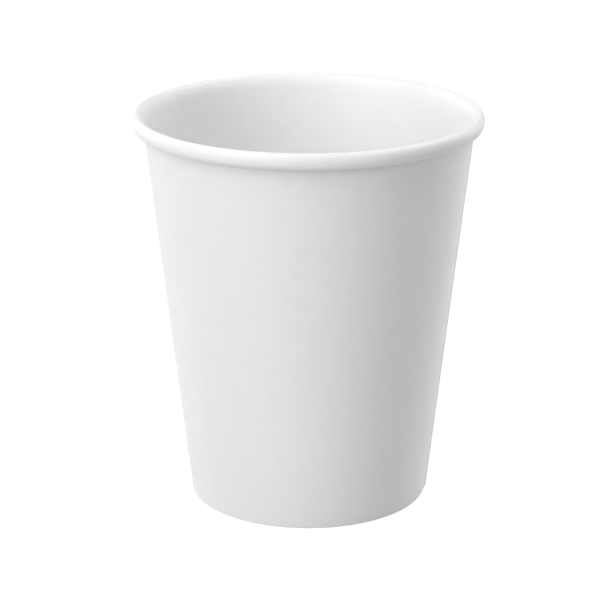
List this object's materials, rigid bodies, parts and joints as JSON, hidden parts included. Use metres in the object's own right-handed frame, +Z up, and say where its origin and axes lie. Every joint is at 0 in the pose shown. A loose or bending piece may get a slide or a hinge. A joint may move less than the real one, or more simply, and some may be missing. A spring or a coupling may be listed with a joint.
{
  "type": "paper coffee cup",
  "caption": "Plain white paper cup for hot drinks: a tapered wall with a lapped side seam, a rolled rim, and a recessed base sealed into the folded foot.",
  "frame": {"origin": "centre of the foot, on the surface that the cup stands on", "axes": "+Z up along the cup's axis, +X through the middle of the side seam"},
  "size_m": [0.08, 0.08, 0.091],
  "materials": {
    "wall_board": "coated board, satin",
    "base_board": "coated board, satin"
  },
  "bodies": {
    "root": {"side_wall": "wall_board", "base_disc": "base_board"}
  },
  "joints": []
}
